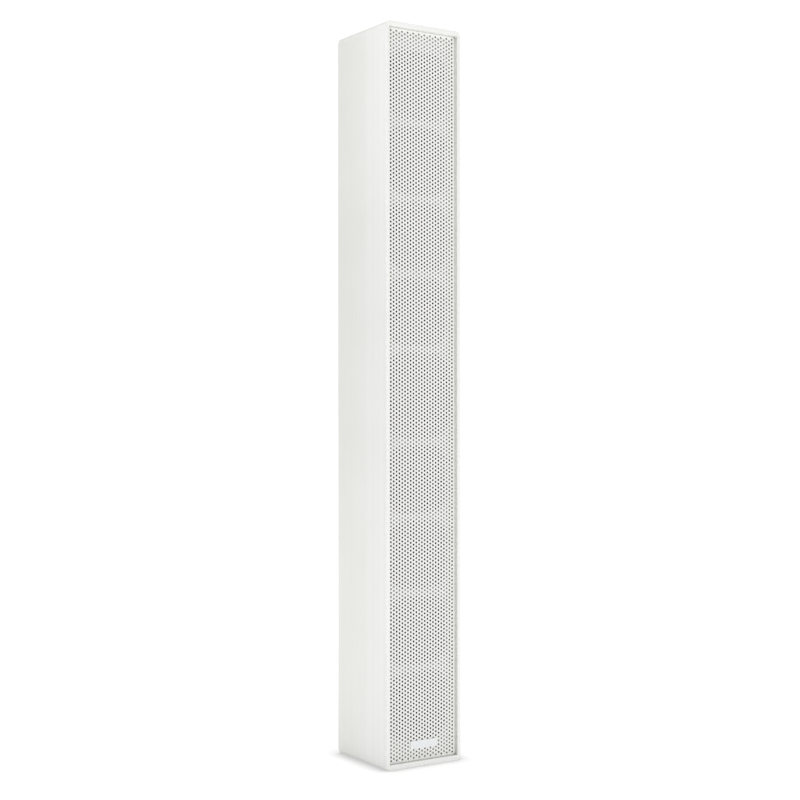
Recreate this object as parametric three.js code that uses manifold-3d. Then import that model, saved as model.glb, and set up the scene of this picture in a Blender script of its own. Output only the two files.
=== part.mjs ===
// A column line array loudspeaker: a slim aluminium column with a recessed perforated front,
// eight small woofers, and one horn-loaded high-frequency unit in the middle of the line.
// Millimetres, +Z up, the front faces -Y, and the origin is the centre of the base.
import * as THREE from 'three';
import { mergeVertices } from 'three/addons/utils/BufferGeometryUtils.js';
import Module from 'manifold-3d';

const wasm = await Module();
wasm.setup();

// ---------------------------------------------------------------- driving dimensions
const CABINET_WIDTH = 115;
const CABINET_DEPTH = 121;
const CABINET_HEIGHT = 957;
const WALL = 5;
const CAP_THICKNESS = 7;
const CAP_RADIUS = 6.8; // rounding of the caps' left and right edges, in the front view
const RIM_RADIUS = 0.8; // the extrusion's vertical front and rear edges
const GRILLE_RECESS = 5;
const GRILLE_SHEET = 1;
const GRILLE_BEND = 1;
const GRILLE_PLAY = 0.12; // all round the grille in its opening
const FIT_GAP = 0.3;
const DRIVER_SIDES = 16; // facets round each turned woofer piece
const UNIT_SIDES = 20; // facets round the larger turned pieces
const HOLE_SIDES = 10; // facets round small screw holes
const BAFFLE_DEPTH = 16; // from the front rim to the baffle's face
const BAFFLE_THICKNESS = 6;

const WOOFER_PITCH = 98;
const CENTRE_UNIT_HEIGHT = 120; // share of the line taken by the high-frequency unit
const WOOFERS_PER_SIDE = 4;
const WOOFER_FRAME = 88;
const WOOFER_CUTOUT = 39.6;
const HF_FRAME_WIDTH = 100;
const HF_FRAME_HEIGHT = 112;
const HF_CUTOUT_WIDTH = 91;
const HF_CUTOUT_HEIGHT = 103;
const HORN_POWER = 3.2; // superellipse power of the horn's mouth
const HORN_STRETCH = 0.15; // the mouth is this much higher than it is wide

const PORT = 10; // square screw port in each inner corner of the extrusion
const PORT_HOLE = 2.1;
const CAP_SCREW_HOLE = 2.4;
const CAP_SCREW_HEAD = 4.6;
const CAP_SCREW_SINK = 2.6;

const BADGE_WIDTH = 41;
const BADGE_HEIGHT = 10.5;
const BADGE_THICKNESS = 1.2;
const BADGE_X = 2; // to the right of the middle
const BADGE_Z = 27.5;

const PLATE_WIDTH = 80;
const PLATE_HEIGHT = 130;
const PLATE_THICKNESS = 3;
const PLATE_Z = 110;
const PLATE_LIP = 8; // overlap of the plate behind the edge of its window, for its screws
const SOCKET_SPACING = 52;
const INSERT_SPACING_X = 50;
const INSERT_SPACING_Z = 480;
const INSERT_HOLE = 4.8;
const INSERT_BORE = 2.6;
const INSERT_RADIUS = 4.3;
const INSERT_LENGTH = 18.5;
const INSERT_FLANGE = 3.2;
const INSERT_FLANGE_RADIUS = 7;

// ---------------------------------------------------------------- derived places
const HALF_WIDTH = CABINET_WIDTH / 2;
const FRONT = -CABINET_DEPTH / 2;
const BACK = CABINET_DEPTH / 2;
const MIDDLE = CABINET_HEIGHT / 2;
const INNER_HALF = HALF_WIDTH - WALL;
const INNER_BACK = BACK - WALL;
const BODY_BOTTOM = CAP_THICKNESS;
const BODY_TOP = CABINET_HEIGHT - CAP_THICKNESS;
const GRILLE_FACE = FRONT + GRILLE_RECESS;
const BAFFLE_FACE = FRONT + BAFFLE_DEPTH;
const BAFFLE_BACK = BAFFLE_FACE + BAFFLE_THICKNESS;
const FRONT_PORT_Y = BAFFLE_BACK + PORT / 2;
const BACK_PORT_Y = INNER_BACK - PORT / 2;
const PORT_X = INNER_HALF - PORT / 2;
const INSERT_Z = [MIDDLE - INSERT_SPACING_Z / 2, MIDDLE + INSERT_SPACING_Z / 2];
const PLATE_FACE = INNER_BACK - FIT_GAP;

// ---------------------------------------------------------------- materials
function material(color, roughness, metalness = 0) {
  return new THREE.MeshStandardMaterial({ color, roughness, metalness });
}

const whitePaint = material(0xf1f1ec, 0.55);
const whiteBoard = material(0xdcdcd6, 0.75);
const badgePlate = material(0xe4e6ee, 0.3, 0.5);
const blackSteel = material(0x151515, 0.5, 0.3);
const darkFerrite = material(0x303030, 0.6, 0.4);
const paperCone = material(0x1b1b1c, 0.85);
const rubber = material(0x101010, 0.7);
const spiderCloth = material(0xb98d4a, 0.9);
const blackPlastic = material(0x161617, 0.45);
const titanium = material(0x9a9a98, 0.35, 0.9);
const circuitBoard = material(0x1f5a34, 0.5);
const copper = material(0xb0683a, 0.35, 0.9);
const filmBlue = material(0x27406a, 0.4);
const zincSteel = material(0xb8b9ba, 0.35, 0.9);

// ---------------------------------------------------------------- solid helpers
function toSolid(geometry) {
  const bare = geometry.clone();
  bare.deleteAttribute('normal');
  bare.deleteAttribute('uv');
  const merged = mergeVertices(bare, 1e-4);
  const corners = merged.index.array;
  const kept = [];
  for (let i = 0; i < corners.length; i += 3) {
    const [a, b, c] = corners.slice(i, i + 3);
    if (a !== b && b !== c && c !== a) kept.push(a, b, c);
  }
  return new wasm.Manifold(new wasm.Mesh({
    numProp: 3,
    vertProperties: new Float32Array(merged.attributes.position.array),
    triVerts: new Uint32Array(kept),
  }));
}

function toGeometry(solid) {
  const mesh = solid.getMesh();
  const geometry = new THREE.BufferGeometry();
  geometry.setAttribute('position', new THREE.BufferAttribute(mesh.vertProperties, 3));
  geometry.setIndex(new THREE.BufferAttribute(mesh.triVerts, 1));
  geometry.computeVertexNormals();
  return geometry;
}

function cut(geometry, cutters) {
  let solid = toSolid(geometry);
  for (const cutter of cutters) solid = solid.subtract(toSolid(cutter));
  return toGeometry(solid);
}

function join(...geometries) {
  return toGeometry(geometries.map(toSolid).reduce((whole, solid) => whole.add(solid)));
}

// A box between two corners.
function block(x0, x1, y0, y1, z0, z1) {
  const box = new THREE.BoxGeometry(x1 - x0, y1 - y0, z1 - z0);
  return box.translate((x0 + x1) / 2, (y0 + y1) / 2, (z0 + z1) / 2);
}

// An XY outline raised from z0 to z1.
function raise(shape, z0, z1, curveSegments = 4) {
  const options = { depth: z1 - z0, bevelEnabled: false, curveSegments };
  return new THREE.ExtrudeGeometry(shape, options).translate(0, 0, z0);
}

// A front-view (XZ) outline that runs through the depth from y0 to y1.
function runThrough(shape, y0, y1, curveSegments = 4) {
  const options = { depth: y1 - y0, bevelEnabled: false, curveSegments };
  return new THREE.ExtrudeGeometry(shape, options).rotateX(Math.PI / 2).translate(0, y1, 0);
}

// A cylinder along Y.
function rod(radius, y0, y1, sides, x = 0, z = 0) {
  const cylinder = new THREE.CylinderGeometry(radius, radius, y1 - y0, sides);
  return cylinder.translate(x, (y0 + y1) / 2, z);
}

// A profile of [radius, y] points turned about the Y axis, with its faces pointing out.
function turned(profile, sides) {
  const points = profile.map(([radius, y]) => new THREE.Vector2(radius, y));
  if (THREE.ShapeUtils.area(points) < 0) points.reverse();
  if (points[0].x > 0) points.push(points[0].clone());
  return new THREE.LatheGeometry(points, sides);
}

// A rounded square or oblong: a superellipse of the given width and height.
function softSquare(width, height, power, count) {
  const points = [];
  for (let i = 0; i < count; i += 1) {
    const angle = (2 * Math.PI * i) / count;
    const c = Math.cos(angle);
    const s = Math.sin(angle);
    const reach = (Math.abs(c) ** power + Math.abs(s) ** power) ** (-1 / power);
    points.push(new THREE.Vector2((reach * c * width) / 2, (reach * s * height) / 2));
  }
  return new THREE.Shape(points);
}

function roundHole(radius, sides, x = 0, z = 0) {
  const points = [];
  for (let i = 0; i < sides; i += 1) {
    const angle = (2 * Math.PI * i) / sides;
    points.push(new THREE.Vector2(x + radius * Math.cos(angle), z + radius * Math.sin(angle)));
  }
  return new THREE.Path(points);
}

const column = new THREE.Group();

function add(parent, name, geometry, look) {
  const mesh = new THREE.Mesh(geometry, look);
  mesh.name = name;
  parent.add(mesh);
  return mesh;
}

// ---------------------------------------------------------------- cabinet
function cornerPoints(y) {
  return [[-PORT_X, y], [PORT_X, y]];
}

// The extrusion's section: a U that is open at the front, with four screw ports.
function sectionShape() {
  const r = RIM_RADIUS;
  const shape = new THREE.Shape();
  shape.moveTo(-HALF_WIDTH + r, FRONT);
  shape.lineTo(-INNER_HALF, FRONT);
  shape.lineTo(-INNER_HALF, BAFFLE_BACK);
  shape.lineTo(-INNER_HALF + PORT, BAFFLE_BACK);
  shape.lineTo(-INNER_HALF + PORT, BAFFLE_BACK + PORT);
  shape.lineTo(-INNER_HALF, BAFFLE_BACK + PORT);
  shape.lineTo(-INNER_HALF, INNER_BACK - PORT);
  shape.lineTo(-INNER_HALF + PORT, INNER_BACK - PORT);
  shape.lineTo(-INNER_HALF + PORT, INNER_BACK);
  shape.lineTo(INNER_HALF - PORT, INNER_BACK);
  shape.lineTo(INNER_HALF - PORT, INNER_BACK - PORT);
  shape.lineTo(INNER_HALF, INNER_BACK - PORT);
  shape.lineTo(INNER_HALF, BAFFLE_BACK + PORT);
  shape.lineTo(INNER_HALF - PORT, BAFFLE_BACK + PORT);
  shape.lineTo(INNER_HALF - PORT, BAFFLE_BACK);
  shape.lineTo(INNER_HALF, BAFFLE_BACK);
  shape.lineTo(INNER_HALF, FRONT);
  shape.lineTo(HALF_WIDTH - r, FRONT);
  shape.absarc(HALF_WIDTH - r, FRONT + r, r, -Math.PI / 2, 0, false);
  shape.absarc(HALF_WIDTH - r, BACK - r, r, 0, Math.PI / 2, false);
  shape.absarc(-HALF_WIDTH + r, BACK - r, r, Math.PI / 2, Math.PI, false);
  shape.absarc(-HALF_WIDTH + r, FRONT + r, r, Math.PI, 1.5 * Math.PI, false);
  for (const [x, y] of [...cornerPoints(FRONT_PORT_Y), ...cornerPoints(BACK_PORT_Y)]) {
    shape.holes.push(roundHole(PORT_HOLE, HOLE_SIDES, x, y));
  }
  return shape;
}

function cabinetBody() {
  const section = raise(sectionShape(), BODY_BOTTOM, BODY_TOP, 2);
  const windowHalf = PLATE_WIDTH / 2 - PLATE_LIP;
  const windowRise = PLATE_HEIGHT / 2 - PLATE_LIP;
  const window = block(-windowHalf, windowHalf, INNER_BACK - 1, BACK + 1,
    PLATE_Z - windowRise, PLATE_Z + windowRise);
  const cutters = [window];
  for (const z of INSERT_Z) {
    for (const side of [-1, 1]) {
      cutters.push(rod(INSERT_HOLE, INNER_BACK - 1, BACK + 1, HOLE_SIDES,
        (side * INSERT_SPACING_X) / 2, z));
    }
  }
  return cut(section, cutters);
}

// An end cap lies on the extrusion with its rounded edges away from it. facing is 1 for the
// top cap and -1 for the bottom cap.
function endCap(facing) {
  const r = CAP_RADIUS;
  const base = facing > 0 ? BODY_TOP : BODY_BOTTOM;
  const far = base + facing * CAP_THICKNESS;
  const shape = new THREE.Shape();
  shape.moveTo(-HALF_WIDTH, base);
  shape.lineTo(HALF_WIDTH, base);
  shape.lineTo(HALF_WIDTH, far - facing * r);
  shape.absarc(HALF_WIDTH - r, far - facing * r, r, 0, (facing * Math.PI) / 2, facing < 0);
  shape.lineTo(-HALF_WIDTH + r, far);
  shape.absarc(-HALF_WIDTH + r, far - facing * r, r, (facing * Math.PI) / 2,
    facing * Math.PI, facing < 0);
  const slab = runThrough(shape, FRONT, BACK, 4);
  return cut(slab, capScrewHoles(base, far, facing));
}

// Countersunk holes over the extrusion's screw ports.
function capScrewHoles(base, far, facing) {
  const low = Math.min(base, far) - 1;
  const high = Math.max(base, far) + 1;
  const holes = [];
  for (const [x, y] of [...cornerPoints(FRONT_PORT_Y), ...cornerPoints(BACK_PORT_Y)]) {
    const shank = new THREE.CylinderGeometry(CAP_SCREW_HOLE, CAP_SCREW_HOLE, high - low, HOLE_SIDES);
    holes.push(shank.rotateX(Math.PI / 2).translate(x, y, (low + high) / 2));
    const wide = CAP_SCREW_HEAD + 0.5;
    const sink = new THREE.CylinderGeometry(wide, CAP_SCREW_HOLE, CAP_SCREW_SINK + 0.5,
      HOLE_SIDES);
    sink.rotateX((facing * Math.PI) / 2);
    holes.push(sink.translate(x, y, far - (facing * (CAP_SCREW_SINK - 0.5)) / 2));
  }
  return holes;
}

// ---------------------------------------------------------------- front
function wooferHeights() {
  const heights = [];
  for (let i = WOOFERS_PER_SIDE; i >= 1; i -= 1) {
    heights.push(MIDDLE + CENTRE_UNIT_HEIGHT / 2 + (i - 0.5) * WOOFER_PITCH);
  }
  for (let i = 1; i <= WOOFERS_PER_SIDE; i += 1) {
    heights.push(MIDDLE - CENTRE_UNIT_HEIGHT / 2 - (i - 0.5) * WOOFER_PITCH);
  }
  return heights;
}

function frontBaffle() {
  const half = INNER_HALF - FIT_GAP;
  const shape = new THREE.Shape();
  shape.moveTo(-half, BODY_BOTTOM + FIT_GAP);
  shape.lineTo(half, BODY_BOTTOM + FIT_GAP);
  shape.lineTo(half, BODY_TOP - FIT_GAP);
  shape.lineTo(-half, BODY_TOP - FIT_GAP);
  for (const z of wooferHeights()) {
    shape.holes.push(roundHole(WOOFER_CUTOUT, UNIT_SIDES, 0, z));
  }
  const centre = softSquare(HF_CUTOUT_WIDTH, HF_CUTOUT_HEIGHT, HORN_POWER, 24).getPoints();
  shape.holes.push(new THREE.Path(centre.map((p) => new THREE.Vector2(p.x, p.y + MIDDLE))));
  return runThrough(shape, BAFFLE_FACE, BAFFLE_BACK);
}

// A folded tray of sheet steel: the face, and four flanges that reach back to the baffle.
function grille() {
  const half = INNER_HALF - GRILLE_PLAY;
  const back = BAFFLE_FACE - FIT_GAP;
  const low = BODY_BOTTOM + GRILLE_PLAY;
  const high = BODY_TOP - GRILLE_PLAY;
  const r = GRILLE_BEND;
  const outline = new THREE.Shape();
  outline.moveTo(half, back);
  outline.lineTo(-half, back);
  outline.absarc(-half + r, GRILLE_FACE + r, r, Math.PI, 1.5 * Math.PI, false);
  outline.absarc(half - r, GRILLE_FACE + r, r, 1.5 * Math.PI, 2 * Math.PI, false);
  const inside = half - GRILLE_SHEET;
  const hollow = block(-inside, inside, GRILLE_FACE + GRILLE_SHEET, back + 1,
    low + GRILLE_SHEET, high - GRILLE_SHEET);
  return cut(raise(outline, low, high, 2), [hollow]);
}

function badge() {
  const r = 1;
  const left = BADGE_X - BADGE_WIDTH / 2 + r;
  const right = BADGE_X + BADGE_WIDTH / 2 - r;
  const low = BADGE_Z - BADGE_HEIGHT / 2 + r;
  const high = BADGE_Z + BADGE_HEIGHT / 2 - r;
  const shape = new THREE.Shape();
  shape.absarc(right, low, r, -Math.PI / 2, 0, false);
  shape.absarc(right, high, r, 0, Math.PI / 2, false);
  shape.absarc(left, high, r, Math.PI / 2, Math.PI, false);
  shape.absarc(left, low, r, Math.PI, 1.5 * Math.PI, false);
  return runThrough(shape, GRILLE_FACE - BADGE_THICKNESS, GRILLE_FACE, 2);
}

// ---------------------------------------------------------------- woofer
// Each woofer is drawn about its own axis, with y = 0 at the baffle's face and +y to the rear.
const FLANGE = 1.6;
const FLANGE_OPENING = 38;
const FLANGE_POWER = 4.5; // superellipse power of the woofer's frame
const BASKET_BACK = 25.6;
const BASKET_SHEET = 1.6;
const BASKET_WINDOW = 13; // half the width of each opening in the basket's wall
const MOTOR_FRONT = BASKET_BACK + FIT_GAP;
const MOTOR_BACK = 43.9;
const POLE_RADIUS = 9.2;
const GAP_RADIUS = 11.4; // outer wall of the voice coil's gap
const GAP_BOTTOM = 38.9;
const MOTOR_RADIUS = 28;

function wooferBasket() {
  const flangeShape = softSquare(WOOFER_FRAME, WOOFER_FRAME, FLANGE_POWER, 20);
  flangeShape.holes.push(roundHole(FLANGE_OPENING, DRIVER_SIDES));
  const flange = runThrough(flangeShape, -FLANGE, 0);
  const bowl = turned([
    [38.6, -FLANGE], [38.6, 3.4], [27.2, BASKET_BACK], [13, BASKET_BACK],
    [13, BASKET_BACK - BASKET_SHEET], [26, BASKET_BACK - BASKET_SHEET], [36, 3.4],
    [33.6, 3.4], [33.6, 2], [37.2, 2], [37.2, -FLANGE],
  ], DRIVER_SIDES);
  const windows = [0, 1, 2, 3].map((i) => {
    const window = block(-BASKET_WINDOW, BASKET_WINDOW, 7, 19.5, 20, 45);
    return window.rotateY(((i + 0.5) * Math.PI) / 2);
  });
  return cut(join(flange, bowl), windows);
}

function wooferMotor() {
  return turned([
    [0, MOTOR_FRONT], [POLE_RADIUS, MOTOR_FRONT], [POLE_RADIUS, GAP_BOTTOM],
    [GAP_RADIUS, GAP_BOTTOM], [GAP_RADIUS, MOTOR_FRONT], [MOTOR_RADIUS, MOTOR_FRONT],
    [MOTOR_RADIUS, MOTOR_BACK], [0, MOTOR_BACK],
  ], DRIVER_SIDES);
}

// The cone with its dust cap in front and its voice coil former behind, which reaches into
// the motor's gap.
function wooferCone() {
  return turned([
    [0, 6.5], [12.2, 11], [29.5, 1.5], [29.5, 2.3], [10.3, 13.8], [10.3, 31],
    [9.7, 31], [9.7, 11.5], [0, 7.3],
  ], DRIVER_SIDES);
}

// The half-roll between the cone's edge and the basket's ledge.
function wooferSurround() {
  return turned([
    [36.8, 1.7], [36.8, 0.6], [33.4, -2.2], [29.9, 0.6], [29.9, 1.7],
  ], DRIVER_SIDES);
}

// The centring cloth between the former and the basket's rear part.
function wooferSpider() {
  return turned([[10.7, 21.4], [26.2, 21.4], [26.2, 22.2], [10.7, 22.2]], DRIVER_SIDES);
}

function addWoofer(number, z) {
  const woofer = new THREE.Group();
  woofer.position.set(0, BAFFLE_FACE, z);
  add(woofer, `woofer_${number}_basket`, wooferBasket(), blackSteel);
  add(woofer, `woofer_${number}_motor`, wooferMotor(), darkFerrite);
  add(woofer, `woofer_${number}_cone`, wooferCone(), paperCone);
  add(woofer, `woofer_${number}_surround`, wooferSurround(), rubber);
  add(woofer, `woofer_${number}_spider`, wooferSpider(), spiderCloth);
  column.add(woofer);
}

// ---------------------------------------------------------------- high-frequency unit
const HORN_THROAT = 12.7;
const HORN_MOUTH = 40;
const HORN_LENGTH = 40;
const HORN_WALL = 2.2;

function hornRadius(y) {
  const fromThroat = 1 - (y + FLANGE) / (HORN_LENGTH + FLANGE);
  return HORN_THROAT + (HORN_MOUTH - HORN_THROAT) * fromThroat ** 1.7;
}

// A turned horn whose section goes from a circle at the throat to a rounded oblong at the mouth.
function hornWaveguide() {
  const depths = [-FLANGE, 6, 16, 28, HORN_LENGTH];
  const inside = depths.map((y) => [hornRadius(y), y]);
  const outside = depths.map((y) => [hornRadius(y) + HORN_WALL, y]).reverse();
  const horn = turned([...inside, ...outside], 24);
  const position = horn.attributes.position;
  for (let i = 0; i < position.count; i += 1) {
    const x = position.getX(i);
    const y = position.getY(i);
    const z = position.getZ(i);
    const open = (1 - (y + FLANGE) / (HORN_LENGTH + FLANGE)) ** 0.8;
    const radius = Math.hypot(x, z);
    const across = Math.abs(x) / radius;
    const up = Math.abs(z) / radius;
    const squared = (across ** HORN_POWER + up ** HORN_POWER) ** (-1 / HORN_POWER);
    const stretch = 1 + open * (squared - 1);
    position.setXYZ(i, x * stretch, y, z * stretch * (1 + HORN_STRETCH * open));
  }
  const flangeShape = softSquare(HF_FRAME_WIDTH, HF_FRAME_HEIGHT, 4, 24);
  const mouthWidth = 2 * HORN_MOUTH + 1.5;
  const mouth = softSquare(mouthWidth, mouthWidth * (1 + HORN_STRETCH), HORN_POWER, 24);
  flangeShape.holes.push(new THREE.Path(mouth.getPoints()));
  return join(horn, runThrough(flangeShape, -FLANGE, 0));
}

function hfMotor() {
  return turned([
    [12.9, 40.3], [30, 40.3], [30, 43], [38, 43], [38, 64], [24.5, 64], [24.5, 58], [12.9, 54],
  ], UNIT_SIDES);
}

function hfDiaphragm() {
  return turned([
    [0, 66], [11, 64.6], [20, 60.4], [23.5, 60.4], [23.5, 59.8], [19.8, 59.8], [11, 63.9],
    [0, 65.3],
  ], UNIT_SIDES);
}

function hfRearCover() {
  return turned([
    [0, 72.5], [25, 72.5], [25, 64.3], [36, 64.3], [36, 72], [33, 75], [0, 75],
  ], UNIT_SIDES);
}

function addHighFrequencyUnit() {
  const unit = new THREE.Group();
  unit.position.set(0, BAFFLE_FACE, MIDDLE);
  add(unit, 'hf_waveguide', hornWaveguide(), blackPlastic);
  add(unit, 'hf_motor', hfMotor(), darkFerrite);
  add(unit, 'hf_diaphragm', hfDiaphragm(), titanium);
  add(unit, 'hf_rear_cover', hfRearCover(), blackPlastic);
  column.add(unit);
}

// ---------------------------------------------------------------- crossover
const BOARD_Z = 320;
const BOARD_WIDTH = 68;
const BOARD_HEIGHT = 120;
const BOARD_THICKNESS = 1.6;
const BOARD_STANDOFF = 7; // from the rear wall to the board's front face
const FOOT_RADIUS = 3;
const FOOT_INSET_X = 6;
const FOOT_INSET_Z = 8;
const COIL_RADIUS = 15;
const COIL_BORE = 6;
const COIL_LENGTH = 14;
const COIL_RISE = 28; // above the board's middle
const CAPACITOR_LENGTH = 32;
const CAPACITOR_DEPTH = 16;
const CAPACITOR_HEIGHT = 18;
const CAPACITOR_DROP = 31; // below the board's middle

function crossoverBoard(boardFront) {
  const halfWidth = BOARD_WIDTH / 2;
  const halfHeight = BOARD_HEIGHT / 2;
  const feet = [];
  for (const z of [FOOT_INSET_Z - halfHeight, halfHeight - FOOT_INSET_Z]) {
    for (const x of [FOOT_INSET_X - halfWidth, halfWidth - FOOT_INSET_X]) {
      feet.push(rod(FOOT_RADIUS, boardFront + 1, INNER_BACK - FIT_GAP, 8, x, BOARD_Z + z));
    }
  }
  const board = block(-halfWidth, halfWidth, boardFront, boardFront + BOARD_THICKNESS,
    BOARD_Z - halfHeight, BOARD_Z + halfHeight);
  return join(board, ...feet);
}

function addCrossover() {
  const boardFront = INNER_BACK - BOARD_STANDOFF;
  const partsBack = boardFront - FIT_GAP;
  add(column, 'crossover_board', crossoverBoard(boardFront), circuitBoard);
  const coil = turned([
    [COIL_BORE, 0], [COIL_RADIUS, 0], [COIL_RADIUS, COIL_LENGTH], [COIL_BORE, COIL_LENGTH],
  ], DRIVER_SIDES);
  coil.translate(0, partsBack - COIL_LENGTH, BOARD_Z + COIL_RISE);
  add(column, 'crossover_coil', coil, copper);
  const capacitorZ = BOARD_Z - CAPACITOR_DROP;
  const capacitor = block(-CAPACITOR_LENGTH / 2, CAPACITOR_LENGTH / 2,
    partsBack - CAPACITOR_DEPTH, partsBack,
    capacitorZ - CAPACITOR_HEIGHT / 2, capacitorZ + CAPACITOR_HEIGHT / 2);
  add(column, 'crossover_capacitor', capacitor, filmBlue);
}

// ---------------------------------------------------------------- rear panel
const SOCKET_SHELL = 13;
const SOCKET_MOUTH = 11.2;
const SOCKET_CORE = 5;
const SOCKET_DEPTH = 20;
const SOCKET_FLANGE = 1.5;
const SOCKET_FLANGE_HALF = 15.5;
const SOCKET_BASE = 2.5;
const CORE_SETBACK = 0.5; // the core's face lies this far behind the flange's back

function socketHeights() {
  return [PLATE_Z + SOCKET_SPACING / 2, PLATE_Z - SOCKET_SPACING / 2];
}

function terminalPlate() {
  const plate = block(-PLATE_WIDTH / 2, PLATE_WIDTH / 2, PLATE_FACE - PLATE_THICKNESS, PLATE_FACE,
    PLATE_Z - PLATE_HEIGHT / 2, PLATE_Z + PLATE_HEIGHT / 2);
  const holes = socketHeights().map((z) => rod(SOCKET_SHELL + FIT_GAP,
    PLATE_FACE - PLATE_THICKNESS - 1, PLATE_FACE + 1, UNIT_SIDES, 0, z));
  return cut(plate, holes);
}

// A round locking loudspeaker socket: a shell through the plate, with a core inside its mouth.
function addSocket(name, z) {
  const socket = new THREE.Group();
  socket.position.set(0, PLATE_FACE + FIT_GAP, z);
  const shell = turned([
    [0, -SOCKET_DEPTH - SOCKET_BASE], [SOCKET_SHELL, -SOCKET_DEPTH - SOCKET_BASE],
    [SOCKET_SHELL, SOCKET_FLANGE], [SOCKET_MOUTH, SOCKET_FLANGE],
    [SOCKET_MOUTH, -SOCKET_DEPTH], [SOCKET_CORE, -SOCKET_DEPTH],
    [SOCKET_CORE, -CORE_SETBACK], [0, -CORE_SETBACK],
  ], UNIT_SIDES);
  const half = SOCKET_FLANGE_HALF;
  const flangeShape = new THREE.Shape();
  flangeShape.moveTo(-half, -half);
  flangeShape.lineTo(half, -half);
  flangeShape.lineTo(half, half);
  flangeShape.lineTo(-half, half);
  flangeShape.holes.push(roundHole(SOCKET_SHELL - 0.8, UNIT_SIDES));
  add(socket, name, join(shell, runThrough(flangeShape, 0, SOCKET_FLANGE)), blackPlastic);
  column.add(socket);
}

// A flanged threaded insert for an M6 screw, set from inside and flush with the rear face.
function threadedInsert() {
  const flangeBack = INNER_BACK - FIT_GAP;
  const flangeFront = flangeBack - INSERT_FLANGE;
  const front = BACK - INSERT_LENGTH;
  return turned([
    [INSERT_BORE, front], [INSERT_RADIUS, front], [INSERT_RADIUS, flangeFront],
    [INSERT_FLANGE_RADIUS, flangeFront], [INSERT_FLANGE_RADIUS, flangeBack],
    [INSERT_RADIUS, flangeBack], [INSERT_RADIUS, BACK], [INSERT_BORE, BACK],
  ], HOLE_SIDES);
}

function addInserts() {
  const rows = ['lower', 'upper'];
  const sides = [['left', -1], ['right', 1]];
  rows.forEach((row, index) => {
    for (const [side, sign] of sides) {
      const insert = add(column, `insert_${row}_${side}`, threadedInsert(), zincSteel);
      insert.position.set((sign * INSERT_SPACING_X) / 2, 0, INSERT_Z[index]);
    }
  });
}

// ---------------------------------------------------------------- assembly
add(column, 'cabinet_body', cabinetBody(), whitePaint);
add(column, 'top_cap', endCap(1), whitePaint);
add(column, 'bottom_cap', endCap(-1), whitePaint);
add(column, 'front_baffle', frontBaffle(), whiteBoard);
add(column, 'grille', grille(), whitePaint);
add(column, 'badge', badge(), badgePlate);
wooferHeights().forEach((z, index) => addWoofer(index + 1, z));
addHighFrequencyUnit();
addCrossover();
add(column, 'terminal_plate', terminalPlate(), blackSteel);
const [inputZ, linkZ] = socketHeights();
addSocket('input_socket', inputZ);
addSocket('link_socket', linkZ);
addInserts();

export default column;
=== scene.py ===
"""The looks of a column line array loudspeaker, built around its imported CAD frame.

Metres, +Z up, the perforated front faces -Y, and the origin is the centre of the base.
"""
import math
from contextlib import contextmanager

import bmesh
import bpy
from mathutils import Matrix, Vector


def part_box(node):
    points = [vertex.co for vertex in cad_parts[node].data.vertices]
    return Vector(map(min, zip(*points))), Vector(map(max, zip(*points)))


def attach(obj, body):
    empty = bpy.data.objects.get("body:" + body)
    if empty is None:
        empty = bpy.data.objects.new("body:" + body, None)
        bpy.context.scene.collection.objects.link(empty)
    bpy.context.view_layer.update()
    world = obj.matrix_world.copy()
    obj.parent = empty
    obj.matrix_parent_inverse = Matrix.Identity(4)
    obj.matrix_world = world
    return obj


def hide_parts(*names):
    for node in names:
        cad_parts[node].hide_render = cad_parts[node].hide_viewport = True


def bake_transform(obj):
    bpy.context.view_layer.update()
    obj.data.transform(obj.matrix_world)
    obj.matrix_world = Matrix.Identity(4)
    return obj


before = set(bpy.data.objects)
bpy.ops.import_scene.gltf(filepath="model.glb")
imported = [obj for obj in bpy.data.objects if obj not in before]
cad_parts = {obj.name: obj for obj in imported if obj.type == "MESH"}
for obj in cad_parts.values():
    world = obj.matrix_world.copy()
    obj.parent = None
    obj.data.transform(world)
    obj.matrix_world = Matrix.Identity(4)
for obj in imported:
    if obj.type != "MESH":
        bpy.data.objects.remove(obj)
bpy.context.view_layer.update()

# ---- driving dimensions
MM = 0.001
MERGE = 1e-7
SMOOTH_ANGLE = math.radians(33)
SIDES = 96

BODY_LOW, BODY_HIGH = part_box("cabinet_body")
TOP_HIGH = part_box("top_cap")[1]
GRILLE_LOW, GRILLE_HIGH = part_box("grille")
BAFFLE_LOW, BAFFLE_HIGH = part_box("front_baffle")
PLATE_LOW, PLATE_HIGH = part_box("terminal_plate")
BOARD_LOW, BOARD_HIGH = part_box("crossover_board")

HALF_WIDTH = BODY_HIGH.x
FRONT = BODY_LOW.y
BACK = BODY_HIGH.y
HEIGHT = TOP_HIGH.z
MIDDLE = HEIGHT / 2
WALL = 5 * MM
INNER_HALF = HALF_WIDTH - WALL
INNER_BACK = BACK - WALL
RIM_RADIUS = 0.8 * MM
CAP_RADIUS = 6.8 * MM
SEAM = 0.12 * MM
PORT = 10 * MM
PORT_HOLE = 2.1 * MM
PORT_X = INNER_HALF - PORT / 2
PORT_PLACES = [(side * PORT_X, y) for side in (-1, 1)
               for y in (BAFFLE_HIGH.y + PORT / 2, INNER_BACK - PORT / 2)]

PLATE_MIDDLE = (PLATE_LOW.z + PLATE_HIGH.z) / 2
PLATE_WIDTH = 2 * PLATE_HIGH.x
PLATE_HEIGHT = PLATE_HIGH.z - PLATE_LOW.z
PLATE_LIP = 8 * MM
SCREW_INSET = 4 * MM
INSERTS = [f"insert_{row}_{side}" for row in ("lower", "upper") for side in ("left", "right")]
WOOFERS = range(1, 9)
REARWARD = Matrix.Rotation(math.pi, 4, "Z")


def centre(node):
    low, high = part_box(node)
    return (low + high) / 2


def mm(*points):
    """Points given in millimetres, in metres."""
    return [tuple(value * MM for value in point) for point in points]


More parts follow.
